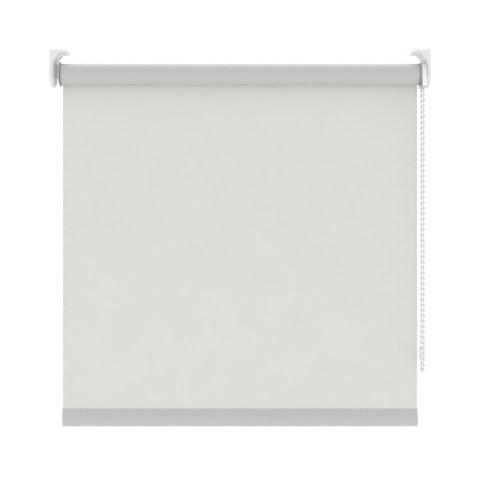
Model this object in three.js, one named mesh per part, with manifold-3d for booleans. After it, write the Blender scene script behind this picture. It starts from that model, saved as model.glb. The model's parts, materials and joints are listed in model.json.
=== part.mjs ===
// A chain-operated roller blind, fully lowered, in millimetres, +Z up.
// The origin is on the wall plane and the ceiling plane, midway between the two brackets.
// +X runs along the roller towards the chain, and the front of the blind faces -Y.
import * as THREE from 'three';
import { mergeVertices } from 'three/addons/utils/BufferGeometryUtils.js';
import Module from 'manifold-3d';

const wasm = await Module();
wasm.setup();

// ---------------------------------------------------------------- driving dimensions

const GAP = 0.3;
const ROUND = 48;
const ROUND_SMALL = 32;
const CUT_PAST = 1;
const SEAM_OVERLAP = 0.1;

const FABRIC_WIDTH = 399.6;
const FABRIC_THICKNESS = 0.35;
const WRAPS_ON_TUBE = 2;
const DROP = 395.5;

const BRACKET_SPAN = 420.8;
const BRACKET_DEPTH = 29.5;
const CHEEK_THICKNESS = 2.8;
const TOP_THICKNESS = 2.4;
const TOP_REACH = 18.5;
const TOP_CORNER = 0.8;
const SCREW_HOLE_RADIUS = 2.1;
const SCREW_HEAD_RADIUS = 3.6;
const CHEEK_HOLE_Y = 7;
const CHEEK_HOLE_Z = -9.5;
const TOP_SLOT_FROM = 8.2;
const TOP_SLOT_TO = 12.2;
const TOP_SLOT_Y = 6.6;
const WEB_HEIGHT = 17;
const WEB_REACH = 11.4;
const WEB_CURVE_OUT = 1.6;
const WEB_CURVE_DOWN = 9.6;
const BOSS_RADIUS = 13.6;
const BOSS_THICKNESS = 1.4;
const CRADLE_WALL = 2.2;
const CRADLE_THICKNESS = 4.8;
const CRADLE_HEIGHT = 10.2;
const CRADLE_SUNK = 0.5;

const AXIS_Y = -BRACKET_DEPTH / 2;
const AXIS_Z = -25.4;

const TUBE_RADIUS = 10.8;
const TUBE_WALL = 0.8;
const TUBE_LENGTH = 399;
const GROOVE_MOUTH = 1.5;
const GROOVE_HALF = 2.3;
const GROOVE_DEPTH = 1.6;
const CHANNEL_HALF = 3;
const CHANNEL_WALL = 0.7;
const SPLINE_THICKNESS = 0.9;

const PLUG_RADIUS = 9.6;
const FLANGE_THICKNESS = 1.2;
const IDLE_FLANGE_RADIUS = 13.9;
const DRIVE_FLANGE_RADIUS = 12.9;
const FLANGE_CHAMFER = 0.4;
const IDLE_RIM_WALL = 2.5;
const PIN_RADIUS = 2.7;
const PIN_SHOWN = 5.3;
const PIN_CHAMFER = 0.6;
const PIN_GUIDE_LENGTH = 17;
const PIN_GUIDE_RADIUS = 2;
const PIN_SPRING_ROOM = 4.8;
const PIN_SPRING_LENGTH = 25;
const PIN_SPRING_WIRE = 0.45;
const PIN_SPRING_RADIUS = 3.5;
const PIN_SPRING_TURNS = 9;

const BEAD_PITCH = 6;
const BEAD_RADIUS = 1.6;
const BEAD_CLEARANCE = 0.35;
const CHAIN_CORD_RADIUS = 0.6;
const WHEEL_TEETH = 8;
const WHEEL_THICKNESS = 4.4;
const WHEEL_RIM = 9;
const WHEEL_GROOVE = 6.6;
const WHEEL_MOUTH_HALF = 1.7;
const WHEEL_FLOOR_HALF = 0.7;
const CHAIN_BEADS = 116;
const CONNECTOR_HEIGHT = 12;
const CONNECTOR_PITCHES = 1.9;
const CONNECTOR_OUTER = BEAD_RADIUS + 1.1;

const KEY_HALF = 3.5;
const DRUM_RADIUS = 4.7;
const NECK_STEP = 1.2;
const HEAD_STEP = 0.5;
const NECK_LENGTH = 2;
const HEAD_FROM = 3.6;
const HEAD_TO = 1.6;
const SLEEVE_BORE = 6.3;
const SLEEVE_RADIUS = 7.6;
const SLEEVE_FROM = 171.7;
const DRIVE_PLUG_FROM = 168;
const DRIVE_RIB_FROM = 176;
const DRIVE_RIB_TO = 196;
const DRIVE_RIB_HALF = 1.8;
const DRIVE_RIB_ROOM = 0.8;
const CLIP_RADIUS = 7.2;
const CLIP_FROM = 1.3;
const CLIP_BORE_STEP = 0.9;
const CLIP_SLOT_HALF = 3.2;
const CLIP_SLOT_DEPTH = 8;
const CLUTCH_WIRE = 0.42;
const CLUTCH_TURNS = 6;
const CLUTCH_LENGTH = 9;
const CLUTCH_INNER_FROM = 175;
const CLUTCH_OUTER_FROM = 187;
const GUARD_RADIUS = 12.8;
const GUARD_WALL = 1.2;
const GUARD_DROP = 14.6;

const BAR_HEIGHT = 20.1;
const BAR_THICKNESS = 6;
const BAR_WIDEST = 12.6;
const BAR_TOP_THICKNESS = 0.9;
const BAR_FLANK_BULGE = 1.4;
const POCKET_WALL = 0.5;
const BAR_WALL = 1.1;
const CAP_PROUD = 0.6;
const CAP_OVERLAP = 0.1;
const CAP_SEAT = 0.2;
const TONGUE_LENGTH = 13;

// ---------------------------------------------------------------- derived places

const OUTER_X = BRACKET_SPAN / 2;
const CHEEK_X = OUTER_X - CHEEK_THICKNESS;
const FABRIC_END = FABRIC_WIDTH / 2;
const TUBE_END = TUBE_LENGTH / 2;
const TUBE_BORE = TUBE_RADIUS - TUBE_WALL;
const GROOVE_FLOOR = TUBE_BORE - GROOVE_DEPTH;
const CHANNEL_FLOOR = GROOVE_FLOOR - CHANNEL_WALL;
const ROLL_BORE = TUBE_RADIUS + 0.2;
const ROLL_RADIUS = ROLL_BORE + WRAPS_ON_TUBE * FABRIC_THICKNESS;
const SHEET_Y = AXIS_Y + ROLL_RADIUS - FABRIC_THICKNESS / 2;
const FLANGE_X = FABRIC_END + 0.5;
const FLANGE_OUT = FLANGE_X + FLANGE_THICKNESS;
const WHEEL_PITCH_RADIUS = (WHEEL_TEETH * BEAD_PITCH) / (2 * Math.PI);
const WHEEL_IN = FLANGE_OUT + GAP;
const WHEEL_OUT = WHEEL_IN + WHEEL_THICKNESS;
const CHAIN_X = (WHEEL_IN + WHEEL_OUT) / 2;
const GUARD_PLATE_IN = WHEEL_OUT + GAP;
const GUARD_OUT = CHEEK_X - GAP;
const KEY_HOLE_HALF = KEY_HALF + GAP;
const CHAIN_START = 1.5 * BEAD_PITCH;
const STRAND_LENGTH = (CHAIN_BEADS - WHEEL_TEETH) * BEAD_PITCH / 2;
const BAR_BOTTOM = AXIS_Z - DROP;
const BAR_Z = BAR_BOTTOM + BAR_HEIGHT / 2;
const BAR_TOP = BAR_BOTTOM + BAR_HEIGHT;

// ---------------------------------------------------------------- materials

function material(color, roughness, metalness) {
  return new THREE.MeshStandardMaterial({ color, roughness, metalness });
}

const WHITE_PLASTIC = material('#e4e6e5', 0.45, 0);
const GREY_PLASTIC = material('#a9aba8', 0.5, 0);
const NATURAL_PLASTIC = material('#ecebe4', 0.4, 0);
const BEAD_PLASTIC = material('#e2e3e0', 0.35, 0);
const CLEAR_PLASTIC = material('#f1f2f0', 0.2, 0);
const ALUMINIUM = material('#c3c6c8', 0.35, 0.9);
const SPRING_STEEL = material('#8f9193', 0.3, 1);
const SHEET_FABRIC = material('#dbdcd7', 0.95, 0);
const ROLL_FABRIC = material('#cfd0cb', 0.95, 0);

// ---------------------------------------------------------------- solids

function toSolid(geometry) {
  const bare = geometry.clone();
  bare.deleteAttribute('normal');
  bare.deleteAttribute('uv');
  const merged = mergeVertices(bare, 1e-4);
  const corners = merged.index.array;
  const kept = [];
  for (let i = 0; i < corners.length; i += 3) {
    const [a, b, c] = [corners[i], corners[i + 1], corners[i + 2]];
    if (a !== b && b !== c && c !== a) kept.push(a, b, c);
  }
  const vertProperties = new Float32Array(merged.attributes.position.array);
  const triVerts = new Uint32Array(kept);
  return new wasm.Manifold(new wasm.Mesh({ numProp: 3, vertProperties, triVerts }));
}

function toGeometry(solid) {
  const { vertProperties, triVerts } = solid.getMesh();
  const geometry = new THREE.BufferGeometry();
  geometry.setAttribute('position', new THREE.BufferAttribute(vertProperties, 3));
  geometry.setIndex(new THREE.BufferAttribute(triVerts, 1));
  geometry.computeVertexNormals();
  return geometry;
}

function joined(...geometries) {
  return toGeometry(geometries.map(toSolid).reduce((whole, next) => whole.add(next)));
}

function cut(geometry, ...tools) {
  return toGeometry(tools.map(toSolid).reduce((rest, tool) => rest.subtract(tool), toSolid(geometry)));
}

// ---------------------------------------------------------------- shapes

const ALONG_X = new THREE.Matrix4().makeBasis(
  new THREE.Vector3(0, 1, 0),
  new THREE.Vector3(0, 0, 1),
  new THREE.Vector3(1, 0, 0),
);

const ALONG_Y = new THREE.Matrix4().makeBasis(
  new THREE.Vector3(1, 0, 0),
  new THREE.Vector3(0, 0, 1),
  new THREE.Vector3(0, -1, 0),
);

// A shape drawn in (y, z), from x = from to x = to.
function extrudedX(shape, from, to, curveSegments = 12) {
  const options = { depth: to - from, bevelEnabled: false, curveSegments };
  const geometry = new THREE.ExtrudeGeometry(shape, options);
  return geometry.applyMatrix4(ALONG_X).translate(from, 0, 0);
}

// A shape drawn in (x, z), from y = from to y = to.
function extrudedY(shape, from, to, curveSegments = 12) {
  const options = { depth: to - from, bevelEnabled: false, curveSegments };
  const geometry = new THREE.ExtrudeGeometry(shape, options);
  return geometry.applyMatrix4(ALONG_Y).translate(0, to, 0);
}

// A shape drawn in (x, y), from z = from to z = to.
function extrudedZ(shape, from, to, curveSegments = 12) {
  const options = { depth: to - from, bevelEnabled: false, curveSegments };
  return new THREE.ExtrudeGeometry(shape, options).translate(0, 0, from);
}

function boxBetween(low, high) {
  const size = high.map((value, i) => value - low[i]);
  const middle = high.map((value, i) => (value + low[i]) / 2);
  return new THREE.BoxGeometry(...size).translate(...middle);
}

// A ring turned about the X axis from a closed outline of [x, radius] corners, which starts at its
// bore and runs along the bore towards +X.
function turned(outline, segments = ROUND) {
  const corners = [...outline, outline[0]].map(([x, radius]) => new THREE.Vector2(radius, x));
  return new THREE.LatheGeometry(corners.reverse(), segments).rotateZ(-Math.PI / 2);
}

function ring(from, to, inner, outer, segments = ROUND) {
  return turned([[from, inner], [to, inner], [to, outer], [from, outer]], segments);
}

function rodX(from, to, radius, segments = ROUND) {
  const rod = new THREE.CylinderGeometry(radius, radius, to - from, segments);
  return rod.rotateZ(-Math.PI / 2).translate((from + to) / 2, 0, 0);
}

// The bottom bar's teardrop section, thin where the sheet meets it, drawn in (y, z) about its middle
// and inset from its outside. A deep inset closes at 45 degrees below.
function barSection(inset) {
  const half = BAR_THICKNESS / 2;
  const top = BAR_HEIGHT / 2;
  const widest = top - BAR_WIDEST;
  const point = (y, z) => new THREE.Vector2(y, z);
  const flank = new THREE.CubicBezierCurve(
    point(BAR_TOP_THICKNESS / 2, top),
    point(BAR_TOP_THICKNESS / 2 + BAR_FLANK_BULGE, top - BAR_WIDEST / 2),
    point(half, widest + BAR_WIDEST / 4),
    point(half, widest),
  );
  const underside = new THREE.EllipseCurve(0, widest, half, top + widest, 0, -Math.PI / 2, true);
  const side = [];
  for (const curve of [flank, underside]) {
    for (let i = 0; i < 10; i += 1) {
      const ahead = curve.getTangent(i / 10);
      const inward = point(ahead.y, -ahead.x);
      side.push(curve.getPoint(i / 10).addScaledVector(inward, inset));
    }
  }
  const right = side.filter(({ x }) => x > SEAM_OVERLAP);
  const left = right.map(({ x, y }) => point(-x, y));
  const lowest = right.at(-1);
  const foot = point(0, Math.max(inset - top, lowest.y - lowest.x));
  return new THREE.Shape([...left, foot, ...right.reverse()]);
}

// A wheel-housing outline about the axis: round above, straight sides down to the drop.
function archOutline(radius, drop) {
  const shape = new THREE.Shape();
  shape.moveTo(-radius, -drop);
  shape.lineTo(radius, -drop);
  shape.lineTo(radius, 0);
  shape.absarc(0, 0, radius, 0, Math.PI, false);
  return shape;
}

function tubeAlong(path, radius, sides, steps) {
  const section = new THREE.Shape();
  for (let i = 0; i < sides; i += 1) {
    const angle = (2 * Math.PI * i) / sides;
    const method = i === 0 ? 'moveTo' : 'lineTo';
    section[method](radius * Math.cos(angle), radius * Math.sin(angle));
  }
  return new THREE.ExtrudeGeometry(section, { steps, extrudePath: path, bevelEnabled: false });
}

// A wire wound about the X axis.
class Helix extends THREE.Curve {
  constructor(from, to, radius, turns) {
    super();
    Object.assign(this, { from, to, radius, turns });
  }

  getPoint(t, target = new THREE.Vector3()) {
    const angle = 2 * Math.PI * this.turns * t;
    const x = this.from + (this.to - this.from) * t;
    return target.set(x, this.radius * Math.cos(angle), this.radius * Math.sin(angle));
  }
}

function coilSpring(from, to, radius, wireRadius, turns) {
  const stepsPerTurn = 12;
  const sides = 5;
  return tubeAlong(new Helix(from, to, radius, turns), wireRadius, sides, turns * stepsPerTurn);
}

// ---------------------------------------------------------------- brackets

// Bracket outlines are drawn about the roller axis in y, with x inwards from the outer face.

function cheekPlate() {
  const half = BRACKET_DEPTH / 2;
  const outline = new THREE.Shape();
  outline.moveTo(-half, 0);
  outline.lineTo(-half, AXIS_Z);
  outline.absarc(0, AXIS_Z, half, Math.PI, 2 * Math.PI, false);
  outline.lineTo(half, 0);
  return extrudedX(outline, 0, CHEEK_THICKNESS, 16);
}

function topPlate() {
  const half = BRACKET_DEPTH / 2;
  const corner = TOP_CORNER;
  const outline = new THREE.Shape();
  outline.moveTo(0, -half);
  outline.lineTo(TOP_REACH - corner, -half);
  outline.absarc(TOP_REACH - corner, corner - half, corner, -Math.PI / 2, 0, false);
  outline.lineTo(TOP_REACH, half - corner);
  outline.absarc(TOP_REACH - corner, half - corner, corner, 0, Math.PI / 2, false);
  outline.lineTo(0, half);
  return extrudedZ(outline, -TOP_THICKNESS, 0, 4);
}

// The full-depth curved web that ties the top plate to the cheek.
function curvedWeb() {
  const half = BRACKET_DEPTH / 2;
  const outline = new THREE.Shape();
  outline.moveTo(0, 0);
  outline.lineTo(0, -WEB_HEIGHT);
  outline.lineTo(CHEEK_THICKNESS, -WEB_HEIGHT);
  const bend = [CHEEK_THICKNESS + WEB_CURVE_OUT, -WEB_CURVE_DOWN];
  outline.quadraticCurveTo(...bend, WEB_REACH, -TOP_THICKNESS);
  outline.lineTo(TOP_REACH - 2, -TOP_THICKNESS);
  outline.lineTo(TOP_REACH - 2, 0);
  return extrudedY(outline, -half, half, 12);
}

function slotOutline(y, radius) {
  const slot = new THREE.Shape();
  slot.absarc(TOP_SLOT_FROM, y, radius, Math.PI / 2, 1.5 * Math.PI, false);
  slot.absarc(TOP_SLOT_TO, y, radius, -Math.PI / 2, Math.PI / 2, false);
  return slot;
}

// Room for two screws through the cheek and two through the top plate, with their heads.
function screwRooms() {
  const rooms = [];
  for (const side of [-1, 1]) {
    const shank = rodX(-1, CHEEK_THICKNESS + 1, SCREW_HOLE_RADIUS, 20);
    const head = rodX(CHEEK_THICKNESS, TOP_REACH, SCREW_HEAD_RADIUS, 20);
    rooms.push(shank.translate(0, side * CHEEK_HOLE_Y, CHEEK_HOLE_Z));
    rooms.push(head.translate(0, side * CHEEK_HOLE_Y, CHEEK_HOLE_Z));
    const y = side * TOP_SLOT_Y;
    rooms.push(extrudedZ(slotOutline(y, SCREW_HOLE_RADIUS), -TOP_THICKNESS - 1, 1, 8));
    rooms.push(extrudedZ(slotOutline(y, SCREW_HEAD_RADIUS), -WEB_HEIGHT, -TOP_THICKNESS, 8));
  }
  return rooms;
}

function bracketBlank() {
  return cut(joined(cheekPlate(), topPlate(), curvedWeb()), ...screwRooms());
}

// A round-bottomed block about the axis, with an open-topped slot for the idle pin.
function slottedBlock(outerHalf, thickness, height) {
  const slotHalf = PIN_RADIUS + GAP;
  const outline = new THREE.Shape();
  outline.moveTo(-outerHalf, height);
  outline.lineTo(-outerHalf, 0);
  outline.absarc(0, 0, outerHalf, Math.PI, 2 * Math.PI, false);
  outline.lineTo(outerHalf, height);
  outline.lineTo(slotHalf, height);
  outline.lineTo(slotHalf, 0);
  outline.absarc(0, 0, slotHalf, 0, -Math.PI, true);
  outline.lineTo(-slotHalf, height);
  const block = extrudedX(outline, CHEEK_THICKNESS - CRADLE_SUNK, CHEEK_THICKNESS + thickness, 12);
  return block.translate(0, 0, AXIS_Z);
}

function leftBracket() {
  const boss = slottedBlock(BOSS_RADIUS, BOSS_THICKNESS, -AXIS_Z - WEB_HEIGHT + 1);
  const cradle = slottedBlock(PIN_RADIUS + GAP + CRADLE_WALL, CRADLE_THICKNESS, CRADLE_HEIGHT);
  return joined(bracketBlank(), boss, cradle);
}

function rightBracket() {
  const low = [-1, -KEY_HOLE_HALF, AXIS_Z - KEY_HOLE_HALF];
  const high = [CHEEK_THICKNESS + 1, KEY_HOLE_HALF, AXIS_Z + KEY_HOLE_HALF];
  const guardRoom = rodX(CHEEK_THICKNESS, TOP_REACH, GUARD_RADIUS + GAP).translate(0, 0, AXIS_Z);
  return cut(bracketBlank(), boxBetween(low, high), guardRoom);
}

// ---------------------------------------------------------------- roller tube

function rollerTube() {
  const mouth = Math.asin(GROOVE_MOUTH / TUBE_RADIUS);
  const shoulder = Math.asin(CHANNEL_HALF / TUBE_BORE);
  const up = Math.PI / 2;
  const outline = new THREE.Shape();
  outline.absarc(0, 0, TUBE_RADIUS, up + mouth, up - mouth + 2 * Math.PI, false);
  outline.lineTo(GROOVE_MOUTH, TUBE_BORE);
  outline.lineTo(GROOVE_HALF, TUBE_BORE - SEAM_OVERLAP);
  outline.lineTo(GROOVE_HALF, GROOVE_FLOOR);
  outline.lineTo(-GROOVE_HALF, GROOVE_FLOOR);
  outline.lineTo(-GROOVE_HALF, TUBE_BORE - SEAM_OVERLAP);
  outline.lineTo(-GROOVE_MOUTH, TUBE_BORE);
  const bore = new THREE.Path();
  bore.absarc(0, 0, TUBE_BORE, up + shoulder, up - shoulder + 2 * Math.PI, false);
  bore.lineTo(CHANNEL_HALF, CHANNEL_FLOOR);
  bore.lineTo(-CHANNEL_HALF, CHANNEL_FLOOR);
  outline.holes.push(bore);
  return extrudedX(outline, -TUBE_END, TUBE_END, ROUND);
}

function fabricSpline() {
  const half = GROOVE_HALF - GAP;
  const low = [-FABRIC_END + 2, -half, GROOVE_FLOOR + GAP];
  const high = [FABRIC_END - 2, half, GROOVE_FLOOR + GAP + SPLINE_THICKNESS];
  return boxBetween(low, high);
}

function fabricRoll() {
  return ring(-FABRIC_END, FABRIC_END, ROLL_BORE, ROLL_RADIUS);
}

// The room that a plug leaves for the tube's groove channel.
function channelRoom(from, to) {
  const half = CHANNEL_HALF + GAP;
  return boxBetween([from, -half, CHANNEL_FLOOR - GAP], [to, half, TUBE_RADIUS]);
}

// ---------------------------------------------------------------- idle end, at -X

const PIN_TIP = -FLANGE_OUT - PIN_SHOWN;
const PLUG_MOUTH = -FLANGE_OUT + 3.5;
const COLLAR_FROM = PLUG_MOUTH + GAP;
const COLLAR_TO = COLLAR_FROM + 2;
const SPRING_TO = COLLAR_TO + GAP + PIN_SPRING_LENGTH;
const PLUG_INNER_END = SPRING_TO + GAP + 2.4;

function idlePlug() {
  const body = turned([
    [-FLANGE_OUT, PIN_RADIUS + GAP],
    [PLUG_MOUTH, PIN_RADIUS + GAP],
    [PLUG_MOUTH, PIN_SPRING_ROOM],
    [PLUG_INNER_END, PIN_SPRING_ROOM],
    [PLUG_INNER_END, PLUG_RADIUS],
    [-FLANGE_X, PLUG_RADIUS],
    [-FLANGE_X, IDLE_FLANGE_RADIUS],
    [-FLANGE_OUT + FLANGE_CHAMFER, IDLE_FLANGE_RADIUS],
    [-FLANGE_OUT, IDLE_FLANGE_RADIUS - FLANGE_CHAMFER],
  ]);
  return cut(body, channelRoom(-TUBE_END - GAP, PLUG_INNER_END + CUT_PAST));
}

function idlePlugCap() {
  const face = PLUG_INNER_END + GAP;
  const bore = PIN_GUIDE_RADIUS + GAP;
  const rim = PLUG_RADIUS - IDLE_RIM_WALL;
  return turned([
    [SPRING_TO + GAP, bore],
    [face + 2, bore],
    [face + 2, rim],
    [face, rim],
    [face, PIN_SPRING_ROOM - GAP],
    [SPRING_TO + GAP, PIN_SPRING_ROOM - GAP],
  ], 32);
}

function idlePin() {
  const profile = [
    [0, PIN_TIP],
    [PIN_RADIUS - PIN_CHAMFER, PIN_TIP],
    [PIN_RADIUS, PIN_TIP + PIN_CHAMFER],
    [PIN_RADIUS, COLLAR_FROM],
    [PIN_SPRING_ROOM - GAP, COLLAR_FROM],
    [PIN_SPRING_ROOM - GAP, COLLAR_TO],
    [PIN_GUIDE_RADIUS, COLLAR_TO],
    [PIN_GUIDE_RADIUS, COLLAR_TO + PIN_GUIDE_LENGTH],
    [0, COLLAR_TO + PIN_GUIDE_LENGTH],
  ].map(([radius, x]) => new THREE.Vector2(radius, x));
  const pin = new THREE.LatheGeometry(profile, 24).rotateZ(-Math.PI / 2);
  return toGeometry(toSolid(pin));
}

function idlePinSpring() {
  const from = COLLAR_TO + GAP + PIN_SPRING_WIRE;
  const to = SPRING_TO - PIN_SPRING_WIRE;
  return coilSpring(from, to, PIN_SPRING_RADIUS, PIN_SPRING_WIRE, PIN_SPRING_TURNS);
}

// ---------------------------------------------------------------- control end, at +X

function drivePlug() {
  const body = turned([
    [DRIVE_PLUG_FROM, SLEEVE_RADIUS + GAP],
    [FLANGE_OUT, SLEEVE_RADIUS + GAP],
    [FLANGE_OUT, DRIVE_FLANGE_RADIUS - FLANGE_CHAMFER],
    [FLANGE_OUT - FLANGE_CHAMFER, DRIVE_FLANGE_RADIUS],
    [FLANGE_X, DRIVE_FLANGE_RADIUS],
    [FLANGE_X, PLUG_RADIUS],
    [DRIVE_PLUG_FROM, PLUG_RADIUS],
  ]);
  const slotted = cut(body, channelRoom(DRIVE_PLUG_FROM - CUT_PAST, TUBE_END + GAP));
  const low = [DRIVE_RIB_FROM, -DRIVE_RIB_HALF, -SLEEVE_RADIUS - CUT_PAST];
  const high = [DRIVE_RIB_TO, DRIVE_RIB_HALF, -SLEEVE_BORE - SEAM_OVERLAP];
  return joined(slotted, boxBetween(low, high));
}

function chainWheel() {
  const blank = turned([
    [SLEEVE_FROM, SLEEVE_BORE],
    [WHEEL_IN, SLEEVE_BORE],
    [WHEEL_IN, DRUM_RADIUS + GAP],
    [WHEEL_OUT, DRUM_RADIUS + GAP],
    [WHEEL_OUT, WHEEL_RIM],
    [CHAIN_X + WHEEL_MOUTH_HALF, WHEEL_RIM],
    [CHAIN_X + WHEEL_FLOOR_HALF, WHEEL_GROOVE],
    [CHAIN_X - WHEEL_FLOOR_HALF, WHEEL_GROOVE],
    [CHAIN_X - WHEEL_MOUTH_HALF, WHEEL_RIM],
    [WHEEL_IN, WHEEL_RIM],
    [WHEEL_IN, SLEEVE_RADIUS],
    [SLEEVE_FROM, SLEEVE_RADIUS],
  ]);
  const roomHalf = DRIVE_RIB_HALF + DRIVE_RIB_ROOM;
  const low = [SLEEVE_FROM - CUT_PAST, -roomHalf, -SLEEVE_RADIUS - CUT_PAST];
  const high = [DRIVE_RIB_TO + 2 * CUT_PAST, roomHalf, -SLEEVE_BORE + DRIVE_RIB_ROOM];
  const cutters = [boxBetween(low, high)];
  for (let i = 0; i < WHEEL_TEETH; i += 1) {
    const pocket = new THREE.SphereGeometry(BEAD_RADIUS + BEAD_CLEARANCE, 10, 6);
    pocket.translate(CHAIN_X, WHEEL_PITCH_RADIUS, 0).rotateX((2 * Math.PI * i) / WHEEL_TEETH);
    cutters.push(pocket);
  }
  return cut(blank, ...cutters);
}

function controlCore() {
  const drum = rodX(SLEEVE_FROM, GUARD_PLATE_IN - GAP, DRUM_RADIUS, ROUND_SMALL);
  const neckFrom = SLEEVE_FROM - NECK_LENGTH;
  const neck = rodX(neckFrom, SLEEVE_FROM + CUT_PAST, DRUM_RADIUS - NECK_STEP, ROUND_SMALL);
  const headRadius = DRUM_RADIUS - HEAD_STEP;
  const head = rodX(SLEEVE_FROM - HEAD_FROM, SLEEVE_FROM - HEAD_TO, headRadius, ROUND_SMALL);
  const low = [GUARD_PLATE_IN - 2, -KEY_HALF, -KEY_HALF];
  const high = [OUTER_X - GAP, KEY_HALF, KEY_HALF];
  return joined(drum, neck, head, boxBetween(low, high));
}

function coreRetainingClip() {
  const bore = DRUM_RADIUS - CLIP_BORE_STEP;
  const disc = ring(SLEEVE_FROM - CLIP_FROM, SLEEVE_FROM - GAP, bore, CLIP_RADIUS, ROUND_SMALL);
  const low = [SLEEVE_FROM - CLIP_FROM - CUT_PAST, -CLIP_SLOT_HALF, -CLIP_SLOT_DEPTH];
  return cut(disc, boxBetween(low, [SLEEVE_FROM + CUT_PAST, CLIP_SLOT_HALF, 0]));
}

function clutchSpring(from) {
  const radius = DRUM_RADIUS + CLUTCH_WIRE + GAP;
  return coilSpring(from, from + CLUTCH_LENGTH, radius, CLUTCH_WIRE, CLUTCH_TURNS);
}

function chainGuard() {
  const body = extrudedX(archOutline(GUARD_RADIUS, GUARD_DROP), WHEEL_IN, GUARD_OUT, 20);
  const inner = archOutline(GUARD_RADIUS - GUARD_WALL, GUARD_DROP + 1);
  const room = extrudedX(inner, WHEEL_IN - 1, GUARD_PLATE_IN, 20);
  const low = [WHEEL_IN, -KEY_HOLE_HALF, -KEY_HOLE_HALF];
  const high = [GUARD_OUT + 1, KEY_HOLE_HALF, KEY_HOLE_HALF];
  return cut(body, room, boxBetween(low, high));
}

// ---------------------------------------------------------------- bead chain

// The beads over the top of the wheel, with one more hanging on each strand.
function chainOnWheel() {
  const radius = WHEEL_PITCH_RADIUS;
  const path = new THREE.CurvePath();
  const arc = new THREE.CatmullRomCurve3(
    [0, 30, 60, 90, 120, 150, 180].map((degrees) => {
      const angle = THREE.MathUtils.degToRad(degrees);
      return new THREE.Vector3(CHAIN_X, radius * Math.cos(angle), radius * Math.sin(angle));
    }),
  );
  const end = GAP - CHAIN_START;
  const rearFoot = new THREE.Vector3(CHAIN_X, radius, end);
  const frontFoot = new THREE.Vector3(CHAIN_X, -radius, end);
  path.add(new THREE.LineCurve3(rearFoot, new THREE.Vector3(CHAIN_X, radius, 0)));
  path.add(arc);
  path.add(new THREE.LineCurve3(new THREE.Vector3(CHAIN_X, -radius, 0), frontFoot));
  const pieces = [tubeAlong(path, CHAIN_CORD_RADIUS, 6, 24)];
  const bead = () => new THREE.SphereGeometry(BEAD_RADIUS, 10, 6);
  for (let i = 0; i <= WHEEL_TEETH / 2; i += 1) {
    const placed = bead().translate(CHAIN_X, radius, 0);
    pieces.push(placed.rotateX((2 * Math.PI * i) / WHEEL_TEETH));
  }
  pieces.push(bead().translate(CHAIN_X, radius, -BEAD_PITCH));
  pieces.push(bead().translate(CHAIN_X, -radius, -BEAD_PITCH));
  return joined(...pieces);
}

// The free loop's centreline: down the front strand, round the bottom and up the rear strand. Its
// steps are short on the bend and long on the strands.
class HangingLoop extends THREE.Curve {
  constructor(strandSteps, bendSteps) {
    super();
    Object.assign(this, { strandSteps, bendSteps, steps: 2 * strandSteps + bendSteps });
  }

  getPoint(t, target = new THREE.Vector3()) {
    const radius = WHEEL_PITCH_RADIUS;
    const fromMiddle = (t - 0.5) * this.steps;
    const up = Math.max(Math.abs(fromMiddle) - this.bendSteps / 2, 0) / this.strandSteps;
    if (up > 0) {
      const z = up * (STRAND_LENGTH - CHAIN_START) - STRAND_LENGTH;
      return target.set(CHAIN_X, Math.sign(fromMiddle) * radius, z);
    }
    const angle = (Math.PI * fromMiddle) / this.bendSteps;
    const z = -STRAND_LENGTH - radius * Math.cos(angle);
    return target.set(CHAIN_X, radius * Math.sin(angle), z);
  }

  getUtoTmapping(u) {
    return u;
  }
}

function hangingChain() {
  const loop = new HangingLoop(30, 10);
  return tubeAlong(loop, BEAD_RADIUS, 8, loop.steps);
}

// The joining sleeve round the rear strand, two beads long.
function chainConnector() {
  const length = CONNECTOR_PITCHES * BEAD_PITCH;
  const bore = BEAD_RADIUS + BEAD_CLEARANCE;
  const sleeve = ring(-length / 2, length / 2, bore, CONNECTOR_OUTER, 20);
  return sleeve.rotateY(-Math.PI / 2);
}

// ---------------------------------------------------------------- sheet and bottom bar

function fabricSheet() {
  const clearOfRoll = Math.sqrt(ROLL_RADIUS ** 2 - (ROLL_RADIUS - FABRIC_THICKNESS - GAP) ** 2);
  const low = [-FABRIC_END, SHEET_Y - FABRIC_THICKNESS / 2, BAR_TOP + GAP];
  const high = [FABRIC_END, SHEET_Y + FABRIC_THICKNESS / 2, AXIS_Z - clearOfRoll];
  return boxBetween(low, high);
}

function hemPocket() {
  const outline = barSection(0);
  outline.holes.push(barSection(POCKET_WALL));
  return extrudedX(outline, -FABRIC_END, FABRIC_END);
}

function bottomBar() {
  const outline = barSection(POCKET_WALL + GAP);
  outline.holes.push(barSection(POCKET_WALL + GAP + BAR_WALL));
  return extrudedX(outline, -FABRIC_END + 1, FABRIC_END - 1);
}

function endCap(side) {
  const seat = FABRIC_END + CAP_SEAT;
  const plate = extrudedX(barSection(-CAP_OVERLAP), seat, seat + CAP_PROUD);
  const section = barSection(POCKET_WALL + BAR_WALL + 2 * GAP);
  const tongue = extrudedX(section, FABRIC_END - TONGUE_LENGTH, seat + CAP_PROUD / 2);
  const cap = joined(plate, tongue);
  return side > 0 ? cap : cap.rotateZ(Math.PI);
}

// ---------------------------------------------------------------- assembly

function addPart(group, name, geometry, finish, position = [0, 0, 0]) {
  const mesh = new THREE.Mesh(geometry, finish);
  mesh.name = name;
  mesh.position.set(...position);
  group.add(mesh);
  return mesh;
}

const blind = new THREE.Group();

addPart(blind, 'left_bracket', leftBracket(), WHITE_PLASTIC, [-OUTER_X, AXIS_Y, 0]);
const right = addPart(blind, 'right_bracket', rightBracket(), WHITE_PLASTIC, [OUTER_X, AXIS_Y, 0]);
right.rotation.z = Math.PI;

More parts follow.
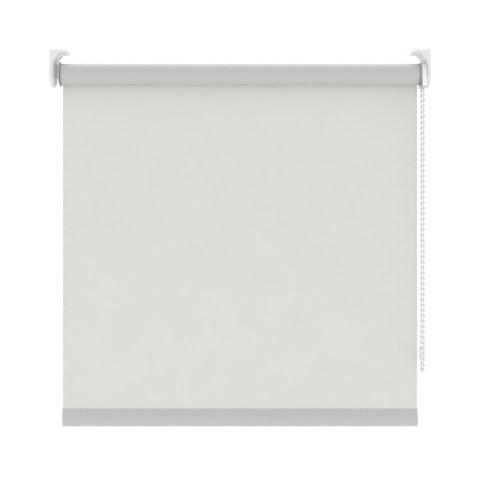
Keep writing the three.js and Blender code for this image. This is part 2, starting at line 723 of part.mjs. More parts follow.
const roller = new THREE.Group();
roller.position.set(0, AXIS_Y, AXIS_Z);
blind.add(roller);
addPart(roller, 'roller_tube', rollerTube(), ALUMINIUM);
addPart(roller, 'fabric_spline', fabricSpline(), NATURAL_PLASTIC);
addPart(roller, 'fabric_roll', fabricRoll(), ROLL_FABRIC);
addPart(roller, 'idle_plug', idlePlug(), GREY_PLASTIC);
addPart(roller, 'idle_plug_cap', idlePlugCap(), NATURAL_PLASTIC);
addPart(roller, 'idle_pin', idlePin(), WHITE_PLASTIC);
addPart(roller, 'idle_pin_spring', idlePinSpring(), SPRING_STEEL);
addPart(roller, 'drive_plug', drivePlug(), GREY_PLASTIC);

const control = new THREE.Group();
control.position.set(0, AXIS_Y, AXIS_Z);
blind.add(control);
addPart(control, 'control_core', controlCore(), NATURAL_PLASTIC);
addPart(control, 'core_retaining_clip', coreRetainingClip(), SPRING_STEEL);
addPart(control, 'chain_wheel', chainWheel(), NATURAL_PLASTIC);
addPart(control, 'clutch_spring_inner', clutchSpring(CLUTCH_INNER_FROM), SPRING_STEEL);
addPart(control, 'clutch_spring_outer', clutchSpring(CLUTCH_OUTER_FROM), SPRING_STEEL);
addPart(control, 'chain_guard', chainGuard(), WHITE_PLASTIC);
addPart(control, 'chain_on_wheel', chainOnWheel(), BEAD_PLASTIC);
addPart(control, 'bead_chain', hangingChain(), BEAD_PLASTIC);
const connectorPlace = [CHAIN_X, WHEEL_PITCH_RADIUS, -STRAND_LENGTH + CONNECTOR_HEIGHT];
addPart(control, 'chain_connector', chainConnector(), CLEAR_PLASTIC, connectorPlace);

addPart(blind, 'fabric_sheet', fabricSheet(), SHEET_FABRIC);

const bar = new THREE.Group();
bar.position.set(0, SHEET_Y, BAR_Z);
blind.add(bar);
addPart(bar, 'hem_pocket', hemPocket(), ROLL_FABRIC);
addPart(bar, 'bottom_bar', bottomBar(), ALUMINIUM);
addPart(bar, 'end_cap_left', endCap(-1), WHITE_PLASTIC);
addPart(bar, 'end_cap_right', endCap(1), WHITE_PLASTIC);

export default blind;
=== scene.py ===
"""The looks of a chain-operated roller blind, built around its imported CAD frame.

Everything is in metres in the row frame: +X along the roller to the chain, -Y to the front, +Z up.
"""

import json
import math

import bmesh
import bpy
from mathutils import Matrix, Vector, noise
from mathutils.geometry import interpolate_bezier


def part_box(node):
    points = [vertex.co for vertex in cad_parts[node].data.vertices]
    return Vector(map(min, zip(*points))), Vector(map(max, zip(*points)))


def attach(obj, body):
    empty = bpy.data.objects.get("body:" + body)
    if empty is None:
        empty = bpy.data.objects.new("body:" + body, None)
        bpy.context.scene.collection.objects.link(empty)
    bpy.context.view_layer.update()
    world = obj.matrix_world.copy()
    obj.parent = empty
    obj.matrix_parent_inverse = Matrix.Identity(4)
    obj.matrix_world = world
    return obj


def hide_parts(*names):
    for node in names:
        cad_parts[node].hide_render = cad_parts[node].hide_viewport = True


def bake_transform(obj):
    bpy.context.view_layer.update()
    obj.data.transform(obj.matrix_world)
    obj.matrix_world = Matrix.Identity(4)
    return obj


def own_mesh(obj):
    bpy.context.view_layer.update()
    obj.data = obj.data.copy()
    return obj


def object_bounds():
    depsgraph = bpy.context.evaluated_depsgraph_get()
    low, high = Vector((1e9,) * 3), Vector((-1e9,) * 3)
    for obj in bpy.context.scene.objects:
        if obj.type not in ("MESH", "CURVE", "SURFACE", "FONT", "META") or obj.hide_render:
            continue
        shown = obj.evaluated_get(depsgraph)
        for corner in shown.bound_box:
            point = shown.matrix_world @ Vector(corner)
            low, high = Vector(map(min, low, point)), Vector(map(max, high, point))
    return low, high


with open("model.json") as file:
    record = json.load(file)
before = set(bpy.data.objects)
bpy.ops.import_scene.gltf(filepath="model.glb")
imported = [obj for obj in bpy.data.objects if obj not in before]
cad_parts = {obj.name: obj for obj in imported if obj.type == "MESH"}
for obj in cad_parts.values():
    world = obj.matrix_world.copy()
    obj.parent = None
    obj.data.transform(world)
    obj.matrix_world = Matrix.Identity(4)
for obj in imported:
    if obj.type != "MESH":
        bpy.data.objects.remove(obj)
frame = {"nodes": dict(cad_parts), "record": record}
CAD_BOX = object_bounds()
MM = 0.001

# Blender seeds vector noise from the clock. One fixed seed makes the beads alike on every run.
noise.seed_set(1)

# ---------------------------------------------------------------- places

ROLL_LOW, ROLL_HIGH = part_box("fabric_roll")
AXIS_Y = (ROLL_LOW.y + ROLL_HIGH.y) / 2
AXIS_Z = (ROLL_LOW.z + ROLL_HIGH.z) / 2
ROLL_RADIUS = (ROLL_HIGH.z - ROLL_LOW.z) / 2
CLOTH_HALF_WIDTH = ROLL_HIGH.x
CLOTH = 0.35 * MM
ROLLED_CLOTH = 2 * CLOTH
SHEET_LOW, SHEET_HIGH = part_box("fabric_sheet")
SHEET_Y = (SHEET_LOW.y + SHEET_HIGH.y) / 2
HEM_LOW, HEM_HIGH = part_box("hem_pocket")
HEM_HEIGHT = HEM_HIGH.z - HEM_LOW.z
CAP_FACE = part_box("end_cap_right")[1].x


BEAD_PITCH = 6 * MM
BEAD_RADIUS = 1.6 * MM
CHAIN_CORD_RADIUS = 0.6 * MM
WHEEL_TEETH = 8
CHAIN_BEADS = 116
CHAIN_START = 1.5 * BEAD_PITCH
WHEEL_RADIUS = WHEEL_TEETH * BEAD_PITCH / (2 * math.pi)
STRAND = (CHAIN_BEADS - WHEEL_TEETH) * BEAD_PITCH / 2
CHAIN_X = sum(c.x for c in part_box("bead_chain")) / 2


# ---------------------------------------------------------------- camera

CAMERA_DISTANCE = 1.1736
CAMERA_LENS = 78.75
CAMERA_SENSOR = 36


def add_camera():
    data = bpy.data.cameras.new("camera")
    data.lens = CAMERA_LENS
    data.sensor_width = CAMERA_SENSOR
    camera = bpy.data.objects.new("camera", data)
    camera.location = (0, AXIS_Y - CAMERA_DISTANCE, (CAD_BOX[0][2] + CAD_BOX[1][2]) / 2)
    camera.rotation_euler = (math.radians(90), 0, 0)
    bpy.context.scene.collection.objects.link(camera)
    bpy.context.scene.camera = camera


# ---------------------------------------------------------------- node materials


class Finish:
    """A node material in the making."""

    def __init__(self, name):
        self.material = bpy.data.materials.new(name)
        self.material.use_nodes = True
        self.tree = self.material.node_tree
        self.tree.nodes.clear()

    def node(self, kind, **settings):
        node = self.tree.nodes.new("ShaderNode" + kind)
        for name, value in settings.items():
            setattr(node, name, value)
        return node

    def feed(self, socket, value):
        if isinstance(value, bpy.types.NodeSocket):
            self.tree.links.new(value, socket)
        else:
            socket.default_value = value

    def maths(self, operation, *values):
        node = self.node("Math", operation=operation)
        for socket, value in zip(node.inputs, values):
            self.feed(socket, value)
        return node.outputs[0]

    def stretched(self, vector, factors):
        node = self.node("VectorMath", operation="MULTIPLY")
        self.feed(node.inputs[0], vector)
        self.feed(node.inputs[1], factors)
        return node.outputs[0]

    def noise(self, vector, scale, detail=2.0):
        node = self.node("TexNoise")
        self.feed(node.inputs["Vector"], vector)
        self.feed(node.inputs["Scale"], scale)
        self.feed(node.inputs["Detail"], detail)
        return node.outputs["Fac"]

    def between(self, factor, low, high):
        """A value from low, where factor is 0, to high, where it is 1."""
        return self.maths("MULTIPLY_ADD", factor, high - low, low)

    def colours(self, factor, first, second):
        node = self.node("Mix", data_type="RGBA")
        self.feed(node.inputs[0], factor)
        self.feed(node.inputs[6], first)
        self.feed(node.inputs[7], second)
        return node.outputs[2]

    def bump(self, height, distance, under=None):
        node = self.node("Bump")
        self.feed(node.inputs["Strength"], 1.0)
        self.feed(node.inputs["Distance"], distance)
        self.feed(node.inputs["Height"], height)
        if under is not None:
            self.feed(node.inputs["Normal"], under)
        return node.outputs["Normal"]

    def principled(self, **inputs):
        node = self.node("BsdfPrincipled")
        for name, value in inputs.items():
            self.feed(node.inputs[name.replace("_", " ")], value)
        return node.outputs[0]

    def lit_through(self, surface, share, colour, normal):
        """The surface with a share of the light from behind it let through."""
        if not share:
            return surface
        through = self.node("BsdfTranslucent")
        self.feed(through.inputs["Color"], colour)
        self.feed(through.inputs["Normal"], normal)
        both = self.node("MixShader")
        self.feed(both.inputs[0], share)
        self.feed(both.inputs[1], surface)
        self.feed(both.inputs[2], through.outputs[0])
        return both.outputs[0]

    def done(self, surface):
        output = self.node("OutputMaterial")
        self.feed(output.inputs["Surface"], surface)
        return self.material


def shade(colour, share):
    return tuple(c * share for c in colour[:3]) + (1.0,)


WARP_PITCH = 0.55 * MM
WEFT_PITCH = 0.62 * MM
GLOW = (0.88, 0.885, 0.85)


def cloth(name, colour, see_through=0.0):
    """Plain weave with slubs, laid by the piece's own flat coordinates in metres, with painted
    shade in the gaps between yarns.
    """
    f = Finish(name)
    flat = f.node("UVMap", uv_map="cloth").outputs[0]
    split = f.node("SeparateXYZ")
    f.feed(split.inputs[0], flat)
    across, along = split.outputs[0], split.outputs[1]
    warp = f.maths("SINE", f.maths("MULTIPLY", across, math.pi / WARP_PITCH))
    weft = f.maths("SINE", f.maths("MULTIPLY", along, math.pi / WEFT_PITCH))
    warp_over = f.maths("GREATER_THAN", f.maths("MULTIPLY", warp, weft), 0.0)
    warp_round = f.maths("ABSOLUTE", warp)
    weft_round = f.maths("ABSOLUTE", weft)
    lift = f.maths("SUBTRACT", warp_round, weft_round)
    yarn = f.maths("MULTIPLY_ADD", warp_over, lift, weft_round)
    warp_slub = f.noise(f.stretched(flat, (1900, 45, 1)), 1.0, 3.0)
    weft_slub = f.noise(f.stretched(flat, (38, 1600, 1)), 1.0, 3.0)
    slub = f.maths("MULTIPLY", f.maths("ADD", warp_slub, weft_slub), 0.5)
    cloudy = f.noise(flat, 22.0, 3.0)
    # The yarn term lightens each yarn's crown and darkens the gaps between yarns: painted shade in
    # the weave's hollows.
    tone = f.maths("MULTIPLY_ADD", slub, 0.7, f.maths("MULTIPLY", yarn, 0.16))
    tone = f.maths("MULTIPLY_ADD", cloudy, 0.14, tone)
    tint = f.colours(tone, shade(colour, 0.94), shade(colour, 1.06))
    normal = f.bump(slub, 0.06 * MM, f.bump(yarn, 0.035 * MM))
    surface = f.principled(
        Base_Color=tint,
        Roughness=f.between(slub, 0.82, 0.98),
        Normal=normal,
        Specular_IOR_Level=0.25,
        Sheen_Weight=0.12,
        Sheen_Roughness=0.5,
    )
    glow = f.colours(tone, shade(GLOW, 0.95), shade(GLOW, 1.05))
    return f.done(f.lit_through(surface, see_through, glow, normal))


def plastic(name, colour, gloss=0.45, grain=0.0015 * MM, coat=0.0, milky=0.0):
    """Moulded plastic: a fine spark-eroded grain over slight sink and flow marks."""
    f = Finish(name)
    place = f.node("TexCoord").outputs["Object"]
    fine = f.noise(place, 3200.0, 2.0)
    flow = f.noise(f.stretched(place, (1, 1, 0.45)), 160.0, 3.0)
    scuff = f.noise(f.stretched(place, (260, 900, 420)), 1.0, 4.0)
    tone = f.maths("MULTIPLY_ADD", flow, 0.7, f.maths("MULTIPLY", fine, 0.3))
    normal = f.bump(fine, grain, f.bump(flow, 0.012 * MM))
    surface = f.principled(
        Base_Color=f.colours(tone, shade(colour, 0.965), shade(colour, 1.03)),
        Roughness=f.between(scuff, gloss - 0.12, gloss + 0.14),
        Normal=normal,
        Coat_Weight=coat,
        Coat_Roughness=0.2,
        IOR=1.49,
    )
    return f.done(f.lit_through(surface, milky, shade(colour, 1.25), normal))


def drawn_metal(name, colour, roughness, along):
    """Metal with fine lines along the way it was drawn or extruded."""
    f = Finish(name)
    place = f.node("TexCoord").outputs["Object"]
    lines = f.noise(f.stretched(place, along), 1.0, 3.0)
    stain = f.noise(place, 90.0, 3.0)
    surface = f.principled(
        Base_Color=f.colours(stain, shade(colour, 0.86), shade(colour, 1.06)),
        Metallic=1.0,
        Roughness=f.between(lines, roughness - 0.1, roughness + 0.14),
        Normal=f.bump(lines, 0.01 * MM),
    )
    return f.done(surface)


COOL_WHITE = (0.68, 0.692, 0.688)
# The chain guard's copy of the white plastic is coloured lighter than the brackets' to brighten it:
# painted light.
GUARD_WHITE_PAINTED_LIGHT = (0.71, 0.721, 0.717)
# The plugs' flanges are coloured dark grey to match the dark ring at each end of the roll, which is
# the flanges' shaded inboard side: painted shade.
FLANGE_GREY_PAINTED_SHADE = (0.375, 0.385, 0.381)
NATURAL = (0.70, 0.70, 0.645)
BEAD_WHITE = (0.53, 0.537, 0.527)
SLEEVE_WHITE = (0.60, 0.61, 0.60)
SHEET_CLOTH = (0.585, 0.591, 0.568)
WRAPPED_CLOTH = (0.40, 0.404, 0.392)

FINISHES = {
    "white_plastic": plastic("white_plastic", COOL_WHITE, milky=0.38),
    "guard_plastic_painted_light": plastic("guard_plastic_painted_light", GUARD_WHITE_PAINTED_LIGHT, milky=0.1),
    "grey_plastic": plastic("grey_plastic", FLANGE_GREY_PAINTED_SHADE),
    "natural_plastic": plastic("natural_plastic", NATURAL, gloss=0.38),
    "bead_plastic": plastic("bead_plastic", BEAD_WHITE, gloss=0.34, coat=0.25),
    "clear_plastic": plastic("clear_plastic", SLEEVE_WHITE, gloss=0.24, coat=0.4),
    "aluminium": drawn_metal("aluminium", (0.62, 0.63, 0.64), 0.38, (12, 3800, 3800)),
    "spring_steel": drawn_metal("spring_steel", (0.46, 0.465, 0.47), 0.3, (2600, 700, 700)),
    "sheet_fabric": cloth("sheet_fabric", SHEET_CLOTH, see_through=0.3),
    "roll_fabric": cloth("roll_fabric", WRAPPED_CLOTH),
}


def finish_as(piece, slot, look=None):
    """Gives a piece the finish of its record slot, or a named other look."""
    piece.data.materials.clear()
    piece.data.materials.append(FINISHES[look or slot])


# ---------------------------------------------------------------- mesh making


def new_piece(name, bm, smooth_under=None):
    """A linked object from a bmesh, flat-shaded across edges sharper than smooth_under degrees."""
    mesh = bpy.data.meshes.new(name)
    bmesh.ops.recalc_face_normals(bm, faces=bm.faces)
    bm.to_mesh(mesh)
    bm.free()
    mesh.shade_smooth()
    if smooth_under is not None:
        mesh.set_sharp_from_angle(angle=math.radians(smooth_under))
    piece = bpy.data.objects.new(name, mesh)
    bpy.context.scene.collection.objects.link(piece)
    return piece


def loft(bm, loops, closed=True, capped=False, flats=None):
    """Faces between loops of points. flats gives each point's (across, along) on the flat cloth."""
    rows = [[bm.verts.new(p) for p in loop] for loop in loops]
    layer = bm.loops.layers.uv.get("cloth") or bm.loops.layers.uv.new("cloth")
    count = len(rows[0])
    for i in range(len(rows) - 1):
        for k in range(count if closed else count - 1):
            n = (k + 1) % count
            face = bm.faces.new((rows[i][k], rows[i][n], rows[i + 1][n], rows[i + 1][k]))
            if flats is None:
                continue
            corners = ((i, k), (i, k + 1), (i + 1, k + 1), (i + 1, k))
            for corner, (row, column) in zip(face.loops, corners):
                corner[layer].uv = flats(row, column)
    if capped:
        bm.faces.new(rows[0])
        bm.faces.new(reversed(rows[-1]))
    return rows


def spaced(low, high, count):
    return [low + (high - low) * i / (count - 1) for i in range(count)]


WELD_WITHIN = 0.002 * MM
LOOP_WELD_WITHIN = 0.001 * MM
FLAT_WITHIN = math.radians(0.5)
HARD_EDGE = 0.6


def bevelled(node, width, body, slot, steps=3):
    """A copy of a CAD node with its hard edges rounded, which stands for it."""
    bm = bmesh.new()
    bm.from_mesh(frame["nodes"][node].data)
    bmesh.ops.remove_doubles(bm, verts=bm.verts, dist=WELD_WITHIN)
    bmesh.ops.dissolve_limit(bm, angle_limit=FLAT_WITHIN, verts=bm.verts, edges=bm.edges)
    if width:
        hard = [e for e in bm.edges if len(e.link_faces) == 2 and e.calc_face_angle() > HARD_EDGE]
        bmesh.ops.bevel(
            bm,
            geom=hard,
            offset=width,
            segments=steps,
            profile=0.5,
            affect="EDGES",
            clamp_overlap=True,
        )
    bmesh.ops.triangulate(bm, faces=[f for f in bm.faces if len(f.verts) > 4])
    piece = new_piece(node + "_moulded", bm, smooth_under=40)
    weighted = piece.modifiers.new("weighted", "WEIGHTED_NORMAL")
    weighted.keep_sharp = True
    weighted.weight = 90
    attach(piece, body)
    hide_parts(node)
    finish_as(piece, slot)
    return piece


def add_pin_spring():
    """The idle pin's spring, with a mesh of its own."""
    spring = bevelled("idle_pin_spring", 0, "roller", "spring_steel")
    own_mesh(spring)


# ---------------------------------------------------------------- bead chain


def chain_point(s):
    """The hanging loop's centreline, s metres along from the front of the guard's mouth."""
    straight = STRAND - CHAIN_START
    bend = math.pi * WHEEL_RADIUS
    if s <= straight:
        return Vector((CHAIN_X, AXIS_Y - WHEEL_RADIUS, AXIS_Z - CHAIN_START - s))
    if s <= straight + bend:
        angle = math.pi + (s - straight) / WHEEL_RADIUS
        y = AXIS_Y + WHEEL_RADIUS * math.cos(angle)
        z = AXIS_Z - STRAND + WHEEL_RADIUS * math.sin(angle)
        return Vector((CHAIN_X, y, z))
    up = s - straight - bend
    return Vector((CHAIN_X, AXIS_Y + WHEEL_RADIUS, AXIS_Z - STRAND + up))


def wheel_point(s):
    """The centreline over the wheel, from the rear strand's last bead to the front one's."""
    tail = BEAD_PITCH
    bend = math.pi * WHEEL_RADIUS
    if s <= tail:
        return Vector((CHAIN_X, AXIS_Y + WHEEL_RADIUS, AXIS_Z - tail + s))
    if s <= tail + bend:
        angle = (s - tail) / WHEEL_RADIUS
        y = AXIS_Y + WHEEL_RADIUS * math.cos(angle)
        return Vector((CHAIN_X, y, AXIS_Z + WHEEL_RADIUS * math.sin(angle)))
    down = s - tail - bend
    return Vector((CHAIN_X, AXIS_Y - WHEEL_RADIUS, AXIS_Z - down))


# A bead's outline from hole to hole, as shares of its radius along and away from the cord.
BEAD_OUTLINE = (
    (-1.04, 0.34), (-1.02, 0.44), (-0.9, 0.52), (-0.72, 0.72), (-0.42, 0.91), (-0.12, 0.99),
    (-0.03, 1.0), (0.0, 1.02), (0.03, 1.0), (0.12, 0.99), (0.42, 0.91), (0.72, 0.72),
    (0.9, 0.52), (1.02, 0.44), (1.04, 0.34),
)


def ring_of(centre, ahead, radius, sides):
    side = Vector((1, 0, 0))
    up = ahead.cross(side).normalized()
    points = []
    for k in range(sides):
        angle = 2 * math.pi * k / sides
        points.append(centre + radius * (math.cos(angle) * side + math.sin(angle) * up))
    return points


CORD_SIDES = 8
PATH_POINTS = 219
BEAD_OFF_LINE = 0.05 * MM
BEAD_TILT = 0.06
BEAD_SIZE_SPREAD = 0.02


def bead_string(name, line, length, first, sides=16):
    """Beads one pitch apart on a cord that follows line, a function of the length along it."""
    bm = bmesh.new()
    step = BEAD_PITCH / 6

    def ahead(s):
        return (line(min(s + step / 4, length)) - line(max(s - step / 4, 0))).normalized()

    count = round(length / step) + 1
    stations = spaced(0.0, length, count)
    cord = [ring_of(line(s), ahead(s), CHAIN_CORD_RADIUS, CORD_SIDES) for s in stations]
    loft(bm, cord, capped=True)
    s = first
    index = 0
    while s < length + step / 2:
        wobble = noise.noise_vector(Vector((index * 1.7, 0.3, 5.1)))
        centre = line(s) + BEAD_OFF_LINE * wobble
        lean = noise.noise_vector(Vector((2.2, index * 1.3, 0.4)))
        tilt = (ahead(s) + BEAD_TILT * lean).normalized()
        size = BEAD_RADIUS * (1 + BEAD_SIZE_SPREAD * wobble.z)
        loops = [
            ring_of(centre + tilt * size * along, tilt, size * away, sides)
            for along, away in BEAD_OUTLINE
        ]
        loft(bm, loops, capped=True)
        s += BEAD_PITCH
        index += 1
    return new_piece(name, bm, smooth_under=50)


def add_chain():
    length = 2 * (STRAND - CHAIN_START) + math.pi * WHEEL_RADIUS
    chain = bead_string("bead_chain_loop", chain_point, length, BEAD_PITCH / 2)
    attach(chain, "chain_loop")
    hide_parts("bead_chain")
    finish_as(chain, "bead_plastic")
    over_length = 2 * BEAD_PITCH + math.pi * WHEEL_RADIUS
    over = bead_string("bead_chain_over_wheel", wheel_point, over_length, 0.0, sides=12)
    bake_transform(over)
    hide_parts("chain_on_wheel")
    finish_as(over, "bead_plastic")
    connector = add_connector()
    [chain_point(s) for s in spaced(0.0, length, PATH_POINTS)]


# The connector's outline from its middle to one end: shares of its half length and outer radius.
SLEEVE_OUTLINE = (
    (0.0, 0.9), (0.1, 0.9), (0.16, 1.0), (0.62, 1.0), (0.7, 0.93), (0.78, 0.93), (0.84, 1.0),
    (0.95, 1.0), (1.0, 0.94), (1.0, 0.78), (0.92, 0.72),
)


def add_connector():
    low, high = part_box("chain_connector")
    centre = (low + high) / 2
    half = (high.z - low.z) / 2
    radius = (high.x - low.x) / 2
    outline = [(-a, r) for a, r in reversed(SLEEVE_OUTLINE[1:])] + list(SLEEVE_OUTLINE)
    up = Vector((0, 0, 1))
    loops = [ring_of(centre + up * half * a, up, radius * r, 32) for a, r in outline]
    bm = bmesh.new()
    loft(bm, loops + [loops[0]])
    bmesh.ops.remove_doubles(bm, verts=bm.verts, dist=LOOP_WELD_WITHIN)
    sleeve = new_piece("chain_connector_sleeve", bm, smooth_under=50)
    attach(sleeve, "chain_connector")
    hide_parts("chain_connector")
    finish_as(sleeve, "clear_plastic")
    return sleeve


# ---------------------------------------------------------------- cloth


CURL_REACH = 5 * MM
CURL_LIFT = 0.35 * MM
SHEET_RIPPLE = 0.22 * MM
SHEET_HELD = 6
SHEET_INTO_HEM = 1.2 * MM
SHEET_COLUMNS = 121
SHEET_LEVELS = 111


def edge_curl(x):
    """How far the cut side edges lift towards the front, in metres."""
    inside = CLOTH_HALF_WIDTH - abs(x)
    return CURL_LIFT * max(0.0, 1 - inside / CURL_REACH) ** 2


def ripple(x, z, size):
    spot = Vector((x * 9.0, z * 3.2, 0.7))
    fine = Vector((x * 34.0, z * 12.0, 4.3))
    return size * (noise.noise(spot) + 0.25 * noise.noise(fine))


def across_cloth(count):
    """Places across the cloth's width, closer together towards its edges."""
    return [CLOTH_HALF_WIDTH * math.sin(a) for a in spaced(-math.pi / 2, math.pi / 2, count)]


def add_sheet():
    top, bottom = AXIS_Z, HEM_HIGH.z - SHEET_INTO_HEM
    columns = across_cloth(SHEET_COLUMNS)
    levels = spaced(top, bottom, SHEET_LEVELS)
    back_y = AXIS_Y + ROLL_RADIUS

    def across(z, face):
        """One face's points at height z, from left to right."""
        share = (top - z) / (top - bottom)
        hold = min(1.0, share * SHEET_HELD, (1 - share) * SHEET_HELD)
        y = back_y - (CLOTH if face == "front" else 0)
        return [
            Vector((x, y - hold * (ripple(x, z, SHEET_RIPPLE) + edge_curl(x)), z))
            for x in columns
        ]

    bm = bmesh.new()
    loops = [across(z, "front") + across(z, "back")[::-1] for z in levels]
    wide = len(columns)

    def flats(row, column):
        k = column % (2 * wide)
        x = columns[k] if k < wide else columns[2 * wide - 1 - k]
        return x, levels[row] - top

    loft(bm, loops, capped=True, flats=flats)
    sheet = new_piece("hanging_sheet", bm, smooth_under=60)
    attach(sheet, "brackets")
    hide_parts("fabric_sheet")
    finish_as(sheet, "sheet_fabric")
    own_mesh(sheet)


ROLL_SIDES = 128
ROLL_COLUMNS = 97
ROLL_EDGE = 0.12 * MM
ROLL_CHAMFER = 0.1 * MM
WRAP_GROOVE = 0.05 * MM
WRAP_GROOVE_DEPTH = 0.3 * MM
ROLL_RIPPLE = 0.035 * MM


def add_roll():
    """The cloth wound on the tube, with the edge of each wrap showing at its ends."""
    half = CLOTH_HALF_WIDTH
    inner = ROLL_RADIUS - ROLLED_CLOTH
    outside = spaced(-half + ROLL_EDGE, half - ROLL_EDGE, ROLL_COLUMNS)
    profile = [(x, ROLL_RADIUS) for x in outside]
    profile += [
        (half, ROLL_RADIUS - ROLL_CHAMFER),
        (half, inner + CLOTH + WRAP_GROOVE),
        (half - WRAP_GROOVE_DEPTH, inner + CLOTH),
        (half, inner + CLOTH - WRAP_GROOVE),
        (half, inner),
        (-half, inner),
        (-half, inner + CLOTH - WRAP_GROOVE),
        (-half + WRAP_GROOVE_DEPTH, inner + CLOTH),
        (-half, inner + CLOTH + WRAP_GROOVE),
        (-half, ROLL_RADIUS - ROLL_CHAMFER),
    ]

    def loop(i):
        x, radius = profile[i % len(profile)]
        points = []
        for k in range(ROLL_SIDES):
            angle = 2 * math.pi * k / ROLL_SIDES
            r = radius
            if i % len(profile) < ROLL_COLUMNS:
                spot = Vector((x * 14, 2.6 * math.cos(angle), 2.6 * math.sin(angle)))
                r += ROLL_RIPPLE * noise.noise(spot)
            points.append(Vector((x, AXIS_Y + r * math.cos(angle), AXIS_Z + r * math.sin(angle))))
        return points

    def flats(row, column):
        return profile[row % len(profile)][0], ROLL_RADIUS * 2 * math.pi * column / ROLL_SIDES

    bm = bmesh.new()
    loft(bm, [loop(i) for i in range(len(profile) + 1)], flats=flats)
    bmesh.ops.remove_doubles(bm, verts=bm.verts, dist=LOOP_WELD_WITHIN)
    roll = new_piece("cloth_on_tube", bm, smooth_under=50)
    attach(roll, "roller")
    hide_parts("fabric_roll")
    finish_as(roll, "roll_fabric")


# ---------------------------------------------------------------- bottom bar

HEM_HALF = (HEM_HIGH.y - HEM_LOW.y) / 2
HEM_WIDEST = 12.6 * MM
HEM_LIP = 0.3 * MM
HEM_WALL = 0.5 * MM
WELD_BELOW = 1.9 * MM
WELD_WIDTH = 0.5 * MM
WELD_DEPTH = 0.12 * MM
HEM_LEAN = 1.5 * MM
HEM_FLANK_POINTS = 49
HEM_FOOT_POINTS = 25
HEM_COLUMNS = 101
HEM_RIPPLE = 0.05 * MM
HEM_SIDES_APART = 0.02 * MM


def hem_side():
    """One side of the bar's teardrop section from the top down: (half thickness, z, normal)."""
    top = HEM_HIGH.z
    widest = top - HEM_WIDEST
    line = interpolate_bezier(
        (HEM_LIP, top, 0),
        (HEM_LIP + HEM_LEAN, top - HEM_WIDEST / 2, 0),
        (HEM_HALF, widest + HEM_WIDEST / 4, 0),
        (HEM_HALF, widest, 0),
        HEM_FLANK_POINTS,
    )
    points = [(p.x, p.y) for p in line]
    deep = widest - HEM_LOW.z
    for turn in spaced(0.0, math.pi / 2, HEM_FOOT_POINTS)[1:]:
        points.append((HEM_HALF * math.cos(turn), widest - deep * math.sin(turn)))
    side = []
    for i, (half, z) in enumerate(points):
        before, after = points[max(i - 1, 0)], points[min(i + 1, len(points) - 1)]
        ahead = Vector((after[0] - before[0], after[1] - before[1])).normalized()
        side.append((half, z, Vector((-ahead.y, ahead.x))))
    return side


def hem_outline(inset=0.0, welded=False):
    """The bar's section as (y, z) about the sheet, down the front and up the back."""
    right = []
    for half, z, outward in hem_side():
        depth = inset
        if welded:
            off = (HEM_HIGH.z - WELD_BELOW - z) / WELD_WIDTH
            depth += WELD_DEPTH * math.exp(-off * off)
        y, z = half - outward.x * depth, z - outward.y * depth
        right.append((max(y, HEM_SIDES_APART), z))
    front = [(SHEET_Y - y, z) for y, z in right]
    back = [(SHEET_Y + y, z) for y, z in reversed(right)]
    return front + back[1:]


def add_hem():
    """The cloth pocket round the bottom bar, welded shut under its top edge."""
    outer = hem_outline(welded=True)
    inner = hem_outline(HEM_WALL)
    stations = across_cloth(HEM_COLUMNS)

    def loop(x, outline, rippled):
        points = []
        for y, z in outline:
            share = (HEM_HIGH.z - z) / HEM_HEIGHT
            push = share * ripple(x * 2.0, z * 6.0, HEM_RIPPLE) if rippled else 0.0
            points.append(Vector((x, y + push * (1 if y > SHEET_Y else -1), z)))
        return points

    loops = [loop(x, outer, True) for x in stations]
    loops += [loop(x, inner, False) for x in reversed(stations)]
    loops.append(loops[0])
    lengths = [0.0]
    for (y0, z0), (y1, z1) in zip(outer, outer[1:] + outer[:1]):
        lengths.append(lengths[-1] + math.hypot(y1 - y0, z1 - z0))

    def flats(row, column):
        return loops[row][0].x, lengths[column]

    bm = bmesh.new()
    loft(bm, loops, flats=flats)
    bmesh.ops.remove_doubles(bm, verts=bm.verts, dist=LOOP_WELD_WITHIN)
    hem = new_piece("hem_pocket_cloth", bm, smooth_under=60)
    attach(hem, "bottom_bar")
    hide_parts("hem_pocket")
    finish_as(hem, "roll_fabric")


CAP_CLEAR = 0.05 * MM
TONGUE_SHARE = 0.25


def add_end_cap(side, node):
    """A domed cap over one end of the bar, with a tongue into the bar's hollow."""
    low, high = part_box(node)
    length = high.x - low.x
    seat = CLOTH_HALF_WIDTH + CAP_CLEAR
    middle = HEM_HIGH.z - HEM_WIDEST

    def loop(x, share):
        points = []
        for y, z in hem_outline():
            points.append(
                Vector((side * x, SHEET_Y + (y - SHEET_Y) * share, middle + (z - middle) * share))
            )
        return points

    steps = [
        (CAP_FACE - length, TONGUE_SHARE), (seat, TONGUE_SHARE), (seat, 0.99),
        (seat + 0.08 * MM, 1.008),
        (CAP_FACE - 0.4 * MM, 1.008), (CAP_FACE - 0.18 * MM, 0.975), (CAP_FACE - 0.05 * MM, 0.9),
        (CAP_FACE, 0.76), (CAP_FACE, 0.4),
    ]
    bm = bmesh.new()
    loft(bm, [loop(x, share) for x, share in steps], capped=True)
    cap = new_piece(node + "_domed", bm, smooth_under=45)
    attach(cap, "bottom_bar")
    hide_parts(node)
    finish_as(cap, "white_plastic")


# ---------------------------------------------------------------- stage

FLOOR_DROP = 1.2
FLOOR_SIZE = 40.0
SKY_STRENGTH = 1.05


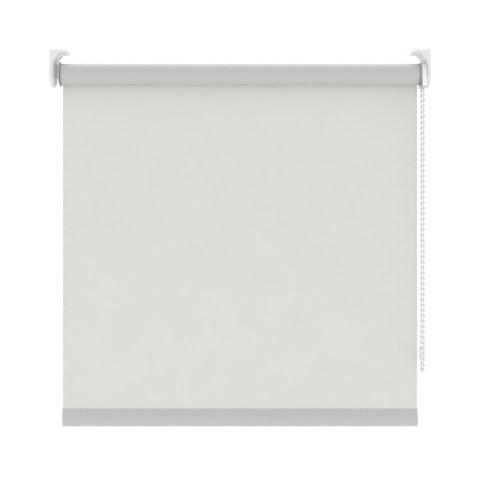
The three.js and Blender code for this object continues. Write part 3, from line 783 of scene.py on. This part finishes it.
def add_stage():
    bm = bmesh.new()
    bmesh.ops.create_grid(bm, x_segments=1, y_segments=1, size=FLOOR_SIZE / 2)
    floor = new_piece("floor", bm)
    floor.location = (0, 0, CAD_BOX[0][2] - FLOOR_DROP)
    f = Finish("floor")
    place = f.node("TexCoord").outputs["Object"]
    tone = f.noise(place, 3.0, 2.0)
    colour = f.colours(tone, (0.955, 0.955, 0.952, 1), (0.975, 0.975, 0.972, 1))
    floor.data.materials.append(f.done(f.principled(Base_Color=colour, Roughness=0.9)))
    world = bpy.data.worlds.new("studio")
    world.use_nodes = True
    world.node_tree.nodes["Background"].inputs[0].default_value = (1, 1, 1, 1)
    world.node_tree.nodes["Background"].inputs[1].default_value = SKY_STRENGTH
    bpy.context.scene.world = world
    bpy.context.scene.view_settings.view_transform = "Standard"


def add_light(name, place, target, size, power):
    data = bpy.data.lights.new(name, "AREA")
    data.shape = "SQUARE"
    data.size = size
    data.energy = power
    lamp = bpy.data.objects.new(name, data)
    lamp.location = place
    aim = Vector(target) - Vector(place)
    lamp.rotation_euler = aim.to_track_quat("-Z", "Y").to_euler()
    bpy.context.scene.collection.objects.link(lamp)


# ---------------------------------------------------------------- making it

add_camera()
add_chain()

bevelled("left_bracket", 0.45 * MM, "brackets", "white_plastic")
bevelled("right_bracket", 0.45 * MM, "brackets", "white_plastic")
guard = bevelled("chain_guard", 0.3 * MM, "brackets", "white_plastic")
# The guard takes a lighter copy of the white plastic: painted light.
finish_as(guard, "white_plastic", look="guard_plastic_painted_light")
# The plugs' dark grey stands for the shade on their flanges at the roll's ends: painted shade.
bevelled("idle_plug", 0.2 * MM, "roller", "grey_plastic", steps=2)
bevelled("drive_plug", 0.25 * MM, "roller", "grey_plastic", steps=2)
bevelled("idle_pin", 0.2 * MM, "idle_pin", "white_plastic", steps=2)
bevelled("control_core", 0.25 * MM, "brackets", "natural_plastic", steps=2)
bevelled("chain_wheel", 0, "chain_wheel", "natural_plastic")
add_pin_spring()

add_roll()
add_sheet()
add_hem()
add_end_cap(-1, "end_cap_left")
add_end_cap(1, "end_cap_right")

KEPT_NODES = (
    "core_retaining_clip", "roller_tube", "fabric_spline", "idle_plug_cap",
    "clutch_spring_inner", "clutch_spring_outer", "bottom_bar",
)
SLOTS = {row["node"]: row["material_slot"] for row in frame["record"]["subparts"]}
for kept in KEPT_NODES:
    finish_as(frame["nodes"][kept], SLOTS[kept])

add_stage()
add_light("overhead", (0, 0.9, 2.4), (0, 0, -0.1), 2.0, 76.0)
for side in (-1, 1):
    add_light("side", (side * 2.4, -1.8, -0.6), (0, 0, -0.1), 1.5, 18.0)
